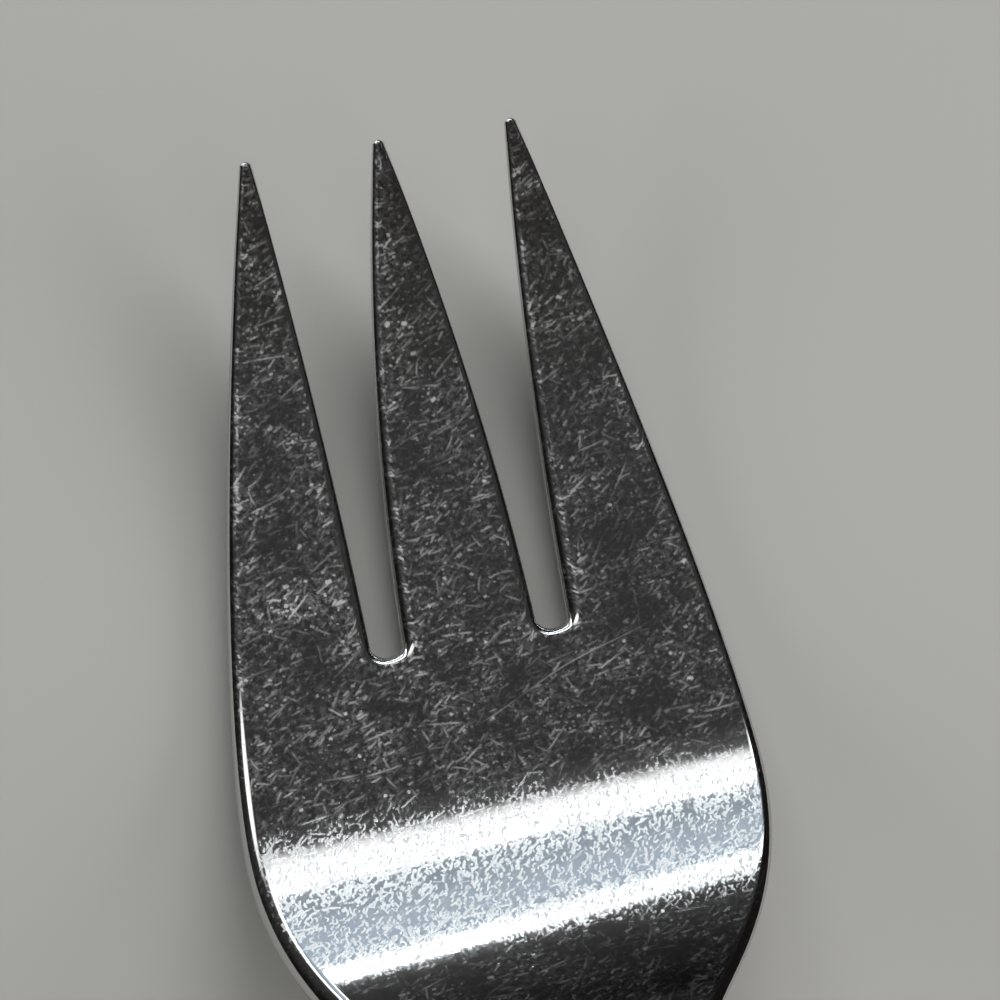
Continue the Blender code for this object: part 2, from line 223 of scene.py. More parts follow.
class PressedSteel:
    """Thickness, side profile and flat outline of the steel as functions of the station."""

    def __init__(self, steel, handle):
        self.steel = steel
        self.handle = handle
        self.half_grip = steel.tang_thickness / 2 + handle.glue_line + handle.scale_thickness
        self.fall = self.rest_slope()
        turns = [
            (steel.tine_bend_radius, steel.tip_rise + steel.root_slope),
            (steel.shoulder_bend_radius, steel.neck_slope - steel.root_slope),
            (steel.neck_bend_radius, steel.neck_slope + self.fall),
        ]
        ends = np.cumsum([0.0] + [radius * turn for radius, turn in turns])
        self.tang = ends[-1]
        self.neck = self.tang + steel.neck_setback
        self.scale = self.tang + handle.scale_setback
        self.butt = self.tang + steel.tang_length
        self.table(ends, [-steel.tip_rise, steel.root_slope, steel.neck_slope, -self.fall])

    def rest_slope(self):
        """Fall of the tang that lets the lower scale and the belly of the head touch one table."""
        steel, handle = self.steel, self.handle
        belly = self.tine_thickness(steel.tip_rise * steel.tine_bend_radius) / 2
        rise = belly + steel.tine_bend_radius * (1 - math.cos(steel.root_slope))
        rise += steel.shoulder_bend_radius * (math.cos(steel.root_slope) - math.cos(steel.neck_slope))
        across = steel.neck_bend_radius - self.half_grip
        along = steel.tang_length - handle.scale_round_inset
        drop = steel.neck_bend_radius * math.cos(steel.neck_slope) - rise
        return math.acos(drop / math.hypot(across, along)) - math.atan2(along, across)

    def table(self, ends, slopes):
        """Side profile: the slope runs straight between the bends' ends and is averaged over the blend
        length; Y and Z are the running sums of its cosine and sine."""
        step, before, beyond = 0.1 * MM, 10 * MM, 20 * MM
        self.at = np.arange(-before, self.butt + beyond, step)
        raw = np.interp(self.at, ends, slopes)
        width = 2 * int(self.steel.bend_blend / step / 2) + 1
        padded = np.pad(raw, width // 2, mode="edge")
        self.slope_at = np.convolve(padded, np.ones(width) / width, mode="valid")
        middle = (self.slope_at[1:] + self.slope_at[:-1]) / 2
        self.y_at = np.concatenate([[0.0], np.cumsum(-np.cos(middle) * step)])
        self.z_at = np.concatenate([[0.0], np.cumsum(np.sin(middle) * step)])
        tip_y = np.interp(0.0, self.at, self.y_at)
        self.y_at += STEEL_HIGH.y - tip_y
        belly = self.z_at - np.cos(self.slope_at) * self.thickness(self.at) / 2
        self.z_at += STEEL_LOW.z - belly[(self.at > 0) & (self.at < self.steel.head_station)].min()

    def tine_thickness(self, station):
        """Thickness of the tines, thinnest at the tips."""
        steel = self.steel
        grown = eased(station, 0.0, steel.tine_length)
        return lerp(steel.tip_thickness, steel.root_thickness, grown)

    def thickness(self, station):
        """Thickness: it grows from the tips to the neck, and the tang is ground thinner."""
        steel = self.steel
        to_neck = (steel.neck_thickness - steel.root_thickness) * eased(station, steel.tine_length, self.neck)
        to_tang = (steel.tang_thickness - steel.neck_thickness) * eased(station, self.neck, self.scale)
        return self.tine_thickness(station) + to_neck + to_tang

    def edge_size(self, station):
        """Size of the edges' shape: the thickness, with less of it at the tips and none under the scales."""
        steel = self.steel
        at_tip = lerp(steel.tip_edge_share, 1.0, eased(station, 0.0, steel.tip_edge_length))
        return self.thickness(station) * at_tip * (1 - eased(station, self.neck, self.scale))

    def edge_profile(self, arc_share, arc_turn, wall_share, undercut):
        """Insets, heights, running lengths and sheared shares of the points down the steel's edge: a wide arc
        rolls off the upper face, a small corner turns into a wall that the blanking die sheared, and a small
        arc ends at the lower face. Insets and lengths are for one thickness, and heights run from 1 to -1."""
        arc_steps, corner_steps, foot_steps = 10, 4, 7
        first_sheared = 0.25
        corner = self.steel.edge_corner_share
        upright = math.pi / 2 + undercut
        corner_drop = corner * (math.cos(arc_turn) - math.cos(upright))
        arc_drop = arc_share * (1 - math.cos(arc_turn))
        foot = (1 - wall_share - arc_drop) / (1 + math.cos(upright))
        wall = (wall_share - corner_drop) / math.sin(upright)
        moves = []
        for radius, first, last, steps in (
            (arc_share, 0.0, arc_turn, arc_steps),
            (corner, arc_turn, upright, corner_steps),
            (foot, upright, math.pi, foot_steps),
        ):
            turn = np.linspace(first, last, steps + 1)
            moves.append(radius * np.stack([np.diff(np.sin(turn)), -np.diff(np.cos(turn))], -1))
        moves.insert(2, np.array([[wall * math.cos(upright), wall * math.sin(upright)]]))
        moves = np.concatenate(moves)
        out, down = np.concatenate([[[0.0, 0.0]], np.cumsum(moves, axis=0)]).T
        run = np.concatenate([[0.0], np.cumsum(np.hypot(moves[:, 0], moves[:, 1]))])
        into_wall = np.linspace(first_sheared, 1.0, corner_steps)
        from_wall = np.linspace(1.0, 0.0, foot_steps + 1)[1:]
        sheared = np.concatenate([np.zeros(arc_steps + 1), into_wall, [1.0], from_wall])
        return out.max() - out, 1 - 2 * down, run, sheared

    def edge_profiles(self):
        """Profile of the left-facing edges, which polishing rolled over, and of the right-facing ones."""
        steel = self.steel
        rolled = self.edge_profile(
            steel.rolled_arc_share, steel.rolled_arc_turn, steel.rolled_wall_share, steel.rolled_undercut
        )
        cut = self.edge_profile(
            steel.cut_arc_share, steel.cut_arc_turn, steel.cut_wall_share, steel.cut_undercut
        )
        return rolled, cut

    def exposed(self, station):
        """How much wear a station gets: all on the head and the shoulder, a quarter on the neck."""
        kept_off, shoulder = 0.75, 10 * MM
        return 1 - kept_off * eased(station, self.steel.head_station + shoulder, self.steel.wear_end)

    def place(self, x, station, height):
        """Point of the pressed steel: height stands square to its middle surface."""
        slope = np.interp(station, self.at, self.slope_at)
        y = np.interp(station, self.at, self.y_at) + height * np.sin(slope)
        z = np.interp(station, self.at, self.z_at) + height * np.cos(slope)
        return np.stack([np.broadcast_to(x, y.shape), y, z], -1)

    def tang_edge(self, share):
        """Right edge of the tang as x and station pairs, from the neck to where the butt begins."""
        steel = self.steel
        neck = (steel.neck_width / 2, self.neck)
        rear = (steel.tang_width / 2, self.butt - steel.butt_length)
        front_handle = (neck[0], neck[1] + steel.tang_front_reach)
        rear_handle = (rear[0], rear[1] - steel.tang_rear_reach)
        return bezier([neck, front_handle, rear_handle, rear], share)

    def outline(self):
        """Right half of the flat outline as three runs of x and station pairs: the middle tine's edge from
        its tip to the slot root, the outer tine's inner edge back to its tip, and the outer edge to the
        butt."""
        steel = self.steel
        long_run, short_run = 241, 61
        fine = np.linspace(0.0, 1.0, long_run)
        turn = np.linspace(0.0, 1.0, short_run)
        tip, slot = steel.tip_width / 2, steel.slot_width / 2
        depth = steel.slot_root_depth
        centre, root = steel.slot_pitch / 2, steel.tine_length - depth
        middle_tip = ellipse((0.0, tip), tip, tip, -math.pi / 2, 0.0, turn)
        middle_edge = bowed(middle_tip[-1], (centre - slot, root), -steel.middle_tine_bow, fine)
        root_left = ellipse((centre, root), slot, depth, math.pi, math.pi / 2, turn)
        root_right = ellipse((centre, root), slot, depth, math.pi / 2, 0.0, turn)
        tip_left = ellipse((steel.tip_pitch, tip), tip, tip, math.pi, 1.5 * math.pi, turn)
        tip_right = ellipse((steel.tip_pitch, tip), tip, tip, 1.5 * math.pi, 2 * math.pi, turn)
        inner_edge = bowed(root_right[-1], tip_left[0], -steel.outer_tine_bow, fine)
        widest = (steel.head_width / 2, steel.head_station)
        head_handle = (widest[0], widest[1] - steel.head_reach)
        head = bezier([tip_right[-1], tip_right[-1], head_handle, widest], fine)
        neck = (steel.neck_width / 2, self.neck)
        shoulder_handle = (widest[0], widest[1] + steel.shoulder_reach)
        neck_handle = (neck[0], neck[1] - steel.neck_reach)
        shoulder = bezier([widest, shoulder_handle, neck_handle, neck], fine)
        tang = self.tang_edge(fine)
        rear = (0.0, self.butt - steel.butt_length)
        butt = ellipse(rear, steel.tang_width / 2, steel.butt_length, 0.0, math.pi / 2, turn)
        runs = [[middle_tip, middle_edge, root_left], [root_right, inner_edge, tip_left]]
        runs.append([tip_right, head, shoulder, tang, butt])
        return [np.concatenate([part[0][:1]] + [piece[1:] for piece in part]) for part in runs]


class Patchwork:
    """Grids of points that meet along their edges; points in one place become one vertex."""

    def __init__(self):
        self.points, self.maps, self.quads = [], [], []
        self.marks = {SHEARED: [], WORN: []}
        self.total = 0

    def add(self, points, flat, sheared=0.0, worn=0.0):
        """One grid of points in rows and columns, with its flat map and how far it is sheared and worn."""
        rows, columns = points.shape[:2]
        index = np.arange(rows * columns).reshape(rows, columns) + self.total
        corners = [index[:-1, :-1], index[:-1, 1:], index[1:, 1:], index[1:, :-1]]
        self.quads.append(np.stack(corners, -1).reshape(-1, 4))
        self.points.append(points.reshape(-1, 3))
        self.maps.append(flat.reshape(-1, 2))
        for name, mark in ((SHEARED, sheared), (WORN, worn)):
            self.marks[name].append(np.broadcast_to(mark, (rows, columns)).reshape(-1))
        self.total += rows * columns

    def mesh(self, name):
        """Mesh of all the grids: doubles are merged, a quad that lost one side becomes a triangle, and
        the flat map goes on the corners."""
        points, flat = np.concatenate(self.points), np.concatenate(self.maps)
        quads = np.concatenate(self.quads)
        _, first, merged = np.unique(np.round(points / WELD), axis=0, return_index=True, return_inverse=True)
        merged = merged.reshape(-1)
        corner = merged[quads]
        same = corner == np.roll(corner, -1, axis=1)
        keep = ~same
        whole = keep.sum(1) >= 3
        keep, quads, corner = keep[whole], quads[whole], corner[whole]
        sides = keep.sum(1)
        mesh = bpy.data.meshes.new(name)
        mesh.vertices.add(len(first))
        mesh.vertices.foreach_set("co", points[first].astype(np.float32).ravel())
        mesh.loops.add(int(sides.sum()))
        mesh.loops.foreach_set("vertex_index", corner[keep].astype(np.int32))
        mesh.polygons.add(len(sides))
        mesh.polygons.foreach_set("loop_start", np.concatenate([[0], np.cumsum(sides)[:-1]]).astype(np.int32))
        layer = mesh.uv_layers.new(name=FLAT_MAP, do_init=False)
        layer.uv.foreach_set("vector", flat[quads[keep]].astype(np.float32).ravel())
        for mark_name, marks in self.marks.items():
            values = np.concatenate(marks)[first].astype(np.float32)
            if values.any():
                mesh.attributes.new(mark_name, "FLOAT", "POINT").data.foreach_set("value", values)
        mesh.update(calc_edges=True)
        mesh.validate()
        shape = bmesh.new()
        shape.from_mesh(mesh)
        bmesh.ops.recalc_face_normals(shape, faces=shape.faces[:])
        shape.to_mesh(mesh)
        shape.free()
        mesh.shade_smooth()
        return mesh


def make_piece(name, mesh, material, slot, *nodes):
    """Object of a finished mesh that rides on the fork and stands for its solids."""
    if not mesh.polygons:
        raise RuntimeError(f"{name} has no faces")
    mesh.materials.append(material)
    piece = bpy.data.objects.new(name, mesh)
    bpy.context.scene.collection.objects.link(piece)
    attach(piece, BODY)
    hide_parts(*nodes)
    return piece


def drill(piece, cutters):
    """Cut turned shapes out of a piece, keep the result as its mesh, and remove the cutters."""
    for cutter in cutters:
        tool = bpy.data.objects.new("drill", cutter)
        bpy.context.scene.collection.objects.link(tool)
        cut = piece.modifiers.new("drill", "BOOLEAN")
        cut.operation = "DIFFERENCE"
        cut.solver = "EXACT"
        cut.object = tool
    graph = bpy.context.evaluated_depsgraph_get()
    drilled = bpy.data.meshes.new_from_object(piece.evaluated_get(graph))
    old = piece.data
    tools = [cut.object for cut in piece.modifiers]
    piece.modifiers.clear()
    piece.data = drilled
    drilled.name = piece.name
    bpy.data.meshes.remove(old)
    for tool in tools:
        shape = tool.data
        bpy.data.objects.remove(tool)
        bpy.data.meshes.remove(shape)


def edge_rows(tip, root, count):
    """Stations from tip to root, closer together at both round ends: half of 1 - cos."""
    share = (1 - np.cos(np.linspace(0.0, math.pi, count))) / 2
    return lerp(tip, root, share)


def edge_rings(press, side):
    """Edges of one half of the steel. Each point of the edge profile moves the outline in by its inset; the
    profile blends from the rolled to the cut one as the edge turns from facing left to facing right. A ring
    holds four runs: the middle tine, the outer tine's inner and outer edge, and the head and tang behind,
    each as x, station and how far it faces right."""
    tine_rows, head_rows, tang_rows = 120, 120, 110
    undecided, fully_turned = 0.15, 0.85
    runs = press.outline()
    path = np.concatenate([runs[0], runs[1][1:], runs[2][1:]])
    step = np.gradient(path, axis=0)
    outward = np.stack([step[:, 1], -step[:, 0]], -1) / np.hypot(step[:, 0], step[:, 1])[:, None]
    outward[0], outward[-1] = (0.0, -1.0), (0.0, 1.0)
    stops = np.cumsum([0, len(runs[0]) - 1, len(runs[1]) - 1, len(runs[2]) - 1])
    size = press.edge_size(path[:, 1])
    turned = side * outward[:, 0]
    behind_tip = eased(path[:, 1], 0.0, press.steel.tip_edge_length / 2)
    decided = eased(np.abs(turned), undecided, fully_turned) * behind_tip
    rightward = (1 + np.sign(turned) * decided) / 2
    rolled, cut = press.edge_profiles()
    rings = []
    for rolled_inset, cut_inset in zip(rolled[0], cut[0]):
        ring = path - outward * (size * lerp(rolled_inset, cut_inset, rightward))[:, None]
        whole = np.concatenate([ring, rightward[:, None]], 1)
        edges = [whole[first : last + 1] for first, last in zip(stops, stops[1:])]
        edges[1] = edges[1][::-1]
        tine = edge_rows(edges[0][0, 1], edges[0][-1, 1], tine_rows)
        outer = edge_rows(edges[2][0, 1], edges[0][-1, 1], tine_rows)
        head = np.linspace(outer[-1], press.neck, head_rows)[1:]
        tang = lerp(press.neck, edges[2][-1, 1], np.sin(np.linspace(0.0, math.pi / 2, tang_rows)))[1:]
        behind = np.concatenate([outer[-1:], head, tang])
        taken = []
        for edge, rows in ((edges[0], tine), (edges[1], outer), (edges[2], outer), (edges[2], behind)):
            x, facing = (np.interp(rows, edge[:, 1], edge[:, part]) for part in (0, 2))
            taken.append((x, rows, facing))
        rings.append(taken)
    return rings


def face_wear(press, x, station, inside):
    """How worn the faces are: most along the edges and round the slot roots, more on the left than on the
    right, much in one scuffed place, and little on the neck."""
    steel = press.steel
    left_wear, right_wear, spread, edge_wear = 1.3, 0.9, 14 * MM, 0.3
    scuff_x, scuff_station, scuff_wear = -12.1 * MM, 35.2 * MM, 4.0
    scuff_width, scuff_length = 2.6 * MM, 1.0 * MM
    to_slot = np.hypot(np.abs(x) - steel.slot_pitch / 2, station - steel.tine_length)
    rubbed = 1.0 - eased(np.minimum(inside, to_slot), 0.0, steel.rubbed_width)
    scuffed = np.exp(-(((x - scuff_x) / scuff_width) ** 2) - ((station - scuff_station) / scuff_length) ** 2)
    aside = lerp(left_wear, right_wear, eased(x, -spread, spread))
    return ((1 + edge_wear * rubbed) * aside + scuff_wear * scuffed) * press.exposed(station)


def steel_mesh(press):
    """The steel: its edges carried round the outline, and two faces that are grids between the edges: three
    tines side by side, and the head behind them with the same columns. The flat map is the outline, with the
    edges unrolled beside it and the lower face set apart. Wear fades down the edges from the upper face; on
    the tines' left-facing edges a dense strip of it just below the upper face is partly real wear and
    partly a painted highlight."""
    lower_shift, column_count, head_roll_wear = 1.3, 21, 0.4
    (_, rolled_heights, lengths, sheared), (_, cut_heights, _, _) = press.edge_profiles()
    points_down = np.arange(len(lengths))
    # Wear down the edge profile: the dense strip just below the upper face on the tines' left-facing edges is
    # partly real wear and partly a painted highlight along the rim; on the head it is held to the plain wear
    # level.
    rolled_wear_and_rim_highlight = np.interp(points_down, (0, 1, 2, 4, 9), (2.0, 5.0, 4.0, 0.3, 0.1))[:, None]
    cut_wear = np.interp(points_down, (0, 2), (1.0, 0.1))[:, None]
    halves = {side: edge_rings(press, side) for side in (1, -1)}
    work = Patchwork()
    for side, rings in halves.items():
        for run, facing in enumerate((1, -1, 1, 1)):
            x, station, rightward = (np.stack([ring[run][part] for ring in rings]) for part in range(3))
            height = lerp(rolled_heights[:, None], cut_heights[:, None], rightward)
            on_tines = 1 - eased(station, press.steel.tine_length, press.steel.head_station)
            rolled_worn_and_rim_highlight = lerp(np.minimum(rolled_wear_and_rim_highlight, head_roll_wear), rolled_wear_and_rim_highlight, on_tines)
            worn = lerp(rolled_worn_and_rim_highlight, cut_wear, rightward) * press.exposed(station)
            start = np.stack([x[0], station[0]], -1)
            along = np.gradient(start, axis=0)
            away = facing * np.stack([along[:, 1], -along[:, 0]], -1) / np.hypot(*along.T)[:, None]
            unrolled = start + lengths[:, None, None] * press.thickness(station[0])[:, None] * away
            points = press.place(side * x, station, height * press.thickness(station) / 2)
            work.add(points, unrolled * np.array([side, 1]) / MAP_UNIT, sheared[:, None], worn)
    columns = edge_rows(0.0, 1.0, column_count)
    for ring, sign, shift in ((0, 1, 0.0), (-1, -1, lower_shift)):
        (right_mid, tine, _), (right_in, outer, _), (right_out, _, _), (right, behind, _) = halves[1][ring]
        (left_mid, _, _), (left_in, _, _), (left_out, _, _), (left, _, _) = halves[-1][ring]
        right_part, left_part = right_mid[-1] * right / right[0], left_mid[-1] * left / left[0]
        spans = [
            (-left_mid, right_mid, tine, (-left_mid, right_mid)),
            (right_in, right_out, outer, (right_in, right_out)),
            (-left_out, -left_in, outer, (-left_out, -left_in)),
            (-left_part, right_part, behind, (-left, right)),
            (right_part, right, behind, (-left, right)),
            (-left, -left_part, behind, (-left, right)),
        ]
        for first, last, rows, (edge_left, edge_right) in spans:
            x = lerp(first[:, None], last[:, None], columns)
            station = np.broadcast_to(rows[:, None], x.shape)
            points = press.place(x, station, sign * press.thickness(station) / 2)
            inside = np.minimum(x - edge_left[:, None], edge_right[:, None] - x)
            flat = np.stack([x, station], -1) / MAP_UNIT + np.array([shift, 0.0])
            work.add(points, flat, 0.0, face_wear(press, x, station, inside))
    return work.mesh("fork_steel_pressed")


def scale_mesh(name, press, side):
    """A scale. Half its width at a station is the tang's, less the inset, times a rounded nose of the form
    (1 - (1 - t)^3)^(1/3); its edge rises straight from the tang, then turns inwards on a quarter ellipse."""
    steel, handle = press.steel, press.handle
    rows, quarter, columns, edge_points = 260, 12, 17, 400
    edge = press.tang_edge(np.linspace(0.0, 1.0, edge_points))
    rear = press.butt - steel.butt_length
    seat = steel.tang_thickness / 2 + handle.hairline
    wall = press.half_grip - handle.scale_round_drop
    turns = np.linspace(0.0, math.pi / 2, quarter + 1)
    insets = np.concatenate([[0.0, 0.0], handle.scale_round_inset * (1 - np.cos(turns[1:]))])
    heights = np.concatenate([[seat, wall], wall + handle.scale_round_drop * np.sin(turns[1:])])

    def half_width(station, inset):
        side_width = np.interp(station, edge[:, 1], edge[:, 0]) - inset
        into_butt = np.clip((station - rear) / (steel.butt_length - inset), 0.0, 1.0)
        into_nose = np.clip((station - press.scale - inset) / handle.scale_nose, 0.0, 1.0)
        nose = (1 - (1 - into_nose) ** 3) ** (1 / 3)
        return side_width * np.sqrt(1 - into_butt**2) * nose

    stations = np.stack([edge_rows(press.scale + inset, press.butt - inset, rows) for inset in insets])
    widths = np.stack([half_width(station, inset) for station, inset in zip(stations, insets)])
    # Rounding of the numbers would leave both ends a hair open.
    widths[:, [0, -1]] = 0.0
    tall = np.broadcast_to(heights[:, None], stations.shape)
    work = Patchwork()
    up = np.concatenate([[0.0], np.cumsum(np.hypot(np.diff(insets), np.diff(heights)))])
    for way in (1, -1):
        flat = np.stack([way * (widths[:1] + up[:, None]), stations], -1)
        work.add(press.place(way * widths, stations, side * tall), flat / MAP_UNIT)
    share = np.linspace(-1.0, 1.0, columns)
    for ring in (0, -1):
        x = widths[ring][:, None] * share
        station = np.broadcast_to(stations[ring][:, None], x.shape)
        points = press.place(x, station, np.full(x.shape, side * heights[ring]))
        work.add(points, np.stack([x, station], -1) / MAP_UNIT)
    return work.mesh(name)


def turned_mesh(name, press, profile, along, steps=72):
    """A turned piece on the tang's own axis: radius and height pairs carried round a circle. The flat map
    holds the angle as a share of a turn and the length of the profile."""
    profile = np.asarray(profile)
    turn = np.linspace(0.0, 2 * math.pi, steps + 1)
    radius, height = profile[:, 0], profile[:, 1]
    x = radius[:, None] * np.cos(turn)
    reach = along + radius[:, None] * np.sin(turn)
    x[:, -1], reach[:, -1] = x[:, 0], reach[:, 0]
    points = press.place(x, reach, np.broadcast_to(height[:, None], x.shape))
    run = np.concatenate([[0.0], np.cumsum(np.hypot(np.diff(radius), np.diff(height)))])
    flat = np.stack(np.broadcast_arrays(turn / (2 * math.pi), run[:, None] / MAP_UNIT), -1)
    work = Patchwork()
    work.add(points, flat)
    return work.mesh(name)


def rounded(profile, corner, reach, steps=4):
    """Profile with one of its corners replaced by a quadratic curve that starts and ends at the reach."""
    profile = np.asarray(profile, float)
    before, here, after = profile[corner - 1], profile[corner], profile[corner + 1]
    first = here + (before - here) / np.hypot(*(before - here)) * reach
    last = here + (after - here) / np.hypot(*(after - here)) * reach
    share = np.linspace(0.0, 1.0, steps + 1)[:, None]
    curve = (1 - share) ** 2 * first + 2 * share * (1 - share) * here + share**2 * last
    return np.concatenate([profile[:corner], curve, profile[corner + 1 :]])


def rivet_stations(press):
    """Stations of the three rivets; the middle one is halfway."""
    front = press.scale + press.handle.rivet_end_margin
    rear = press.butt - press.handle.rivet_end_margin
    return (front, (front + rear) / 2, rear)


def drill_profile(press, side, clearance):
    """Stepped hole for a rivet's body through the tang and one scale, and for its head in that scale."""
    steel, handle = press.steel, press.handle
    over = 1 * MM
    hole = handle.sleeve_diameter / 2 + handle.hole_clearance
    head = handle.rivet_head_diameter / 2 + clearance
    start = -steel.tang_thickness / 2 - over
    seat = press.half_grip - handle.rivet_head_recess - handle.rivet_head_thickness - handle.hole_clearance
    end = press.half_grip + over
    profile = [(0.0, start), (hole, start), (hole, seat), (head, seat), (head, end), (0.0, end)]
    return [(radius, side * height) for radius, height in profile]


def add_node(tree, kind, inputs=None, **settings):
    """A shader node with its settings. Its inputs take numbers, colours, sockets, or a node for the first
    of its outputs."""
    made = tree.nodes.new(f"ShaderNode{kind}")
    for name, value in settings.items():
        setattr(made, name, value)
    for key, value in (inputs or {}).items():
        source = value.outputs[0] if isinstance(value, bpy.types.Node) else value
        if isinstance(source, bpy.types.NodeSocket):
            tree.links.new(source, made.inputs[key])
        else:
            made.inputs[key].default_value = source
    return made


def start_material(name):
    """Empty material with its shader joined to its output."""
    material = bpy.data.materials.new(name)
    material.use_nodes = True
    tree = material.node_tree
    tree.nodes.clear()
    shader = add_node(tree, "BsdfPrincipled")
    add_node(tree, "OutputMaterial", {"Surface": shader})
    return material, tree, shader


def scratch_layer(tree, place, cell, reach, width, rise, spread, bend, depth, seed):
    """Strokes, one in each Voronoi cell: the place in the cell is turned by an angle of the cell's own round
    the rise, bent a little, and marked where it lies within the stroke's half width and half length. Sizes
    are in mm, each cell's depth is the square of a random share, and the seed shifts the cells."""
    shift = (seed * 1.73, seed * 0.91, 0.0)
    fading = 0.4
    scaled = add_node(tree, "Mapping", {"Vector": place, "Location": shift, "Scale": (1 / cell,) * 3})
    cells = add_node(tree, "TexVoronoi", {"Vector": scaled, "Scale": 1.0}, voronoi_dimensions="2D")
    local = add_node(tree, "VectorMath", {0: scaled, 1: cells.outputs["Position"]}, operation="SUBTRACT")
    pick = add_node(tree, "SeparateColor", {0: cells.outputs["Color"]}).outputs
    swing = add_node(tree, "MapRange", {"Value": pick[0], "To Min": rise - spread, "To Max": rise + spread})
    turned = add_node(tree, "VectorRotate", {"Vector": local, "Angle": swing}, rotation_type="Z_AXIS")
    parts = add_node(tree, "SeparateXYZ", {0: turned}).outputs
    curve = add_node(tree, "MapRange", {"Value": pick[2], "To Min": -bend, "To Max": bend})
    square = add_node(tree, "Math", {0: parts[0], 1: 2.0}, operation="POWER")
    bent = add_node(tree, "Math", {0: square, 1: curve, 2: parts[1]}, operation="MULTIPLY_ADD")
    across = add_node(tree, "Math", {0: bent}, operation="ABSOLUTE")
    along = add_node(tree, "Math", {0: parts[0]}, operation="ABSOLUTE")
    line = add_node(tree, "MapRange", {"Value": across, "From Min": width / cell, "From Max": 0.0}, **SMOOTH)
    span = {"From Min": reach / cell, "From Max": fading * reach / cell}
    ends = add_node(tree, "MapRange", {"Value": along, **span}, **SMOOTH)
    squared = add_node(tree, "Math", {0: pick[1], 1: 2.0}, operation="POWER")
    deep = add_node(tree, "Math", {0: squared, 1: depth}, operation="MULTIPLY")
    stroke = add_node(tree, "Math", {0: line, 1: ends}, operation="MULTIPLY")
    return add_node(tree, "Math", {0: stroke, 1: deep}, operation="MULTIPLY")


def long_scratch(tree, place):
    """One long bent scratch across the head: its station falls with x along a straight line, less a cosine
    wave of one period, and it fades at both ends. Sizes are in mm."""
    fall, wave, turns, start, station, width, depth = 0.408, 0.275, 0.4315, 0.306, 46.135, 0.13, 0.3
    middle, half_length, full_length = 6.6, 7.4, 6.4
    parts = add_node(tree, "SeparateXYZ", {0: place}).outputs
    phase = add_node(tree, "Math", {0: parts[0], 1: turns, 2: start}, operation="MULTIPLY_ADD")
    cosine = add_node(tree, "Math", {0: phase}, operation="COSINE")
    straight = add_node(tree, "Math", {0: parts[0], 1: fall, 2: parts[1]}, operation="MULTIPLY_ADD")
    wavy = add_node(tree, "Math", {0: cosine, 1: -wave, 2: straight}, operation="MULTIPLY_ADD")
    across = add_node(tree, "Math", {0: wavy, 1: station}, operation="SUBTRACT")
    away = add_node(tree, "Math", {0: across}, operation="ABSOLUTE")
    span = {"From Min": width, "From Max": 0.0, "To Max": depth}
    line = add_node(tree, "MapRange", {"Value": away, **span}, **SMOOTH)
    from_middle = add_node(tree, "Math", {0: parts[0], 1: middle}, operation="SUBTRACT")
    along = add_node(tree, "Math", {0: from_middle}, operation="ABSOLUTE")
    ends = add_node(tree, "MapRange", {"Value": along, "From Min": half_length, "From Max": full_length})
    return add_node(tree, "Math", {0: line, 1: ends}, operation="MULTIPLY")


# Scratches and nicks worn into the steel: cell, half length and half width in mm, rise to the right and its
# spread in radians, bend, and how strong the strongest is. Real hairlines are finer than a pixel here, so
# they are drawn wider.
WEAR_MARKS = (
    (0.55, 0.15, 0.15, 0.50, 1.2, 0.0, 0.38),
    (0.90, 0.40, 0.15, 0.50, 0.5, 0.2, 0.42),
    (1.30, 0.65, 0.16, 0.50, 0.6, 0.2, 0.46),
    (1.60, 0.80, 0.14, 0.20, 1.6, 0.3, 0.40),
    (1.80, 0.19, 0.20, 0.00, 1.6, 0.0, 0.80),
    (3.20, 0.30, 0.25, 0.40, 1.0, 0.0, 1.00),
    (2.80, 1.60, 0.14, 0.45, 0.6, 0.1, 0.50),
)
# Short curled scratches on the shoulder, in the same order.
SHOULDER_MARKS = (
    (0.45, 0.26, 0.12, 1.35, 0.6, 1.5, 0.80),
    (0.60, 0.34, 0.13, 1.35, 0.6, 1.5, 0.90),
    (0.80, 0.44, 0.14, 1.45, 0.7, 1.2, 0.90),
)


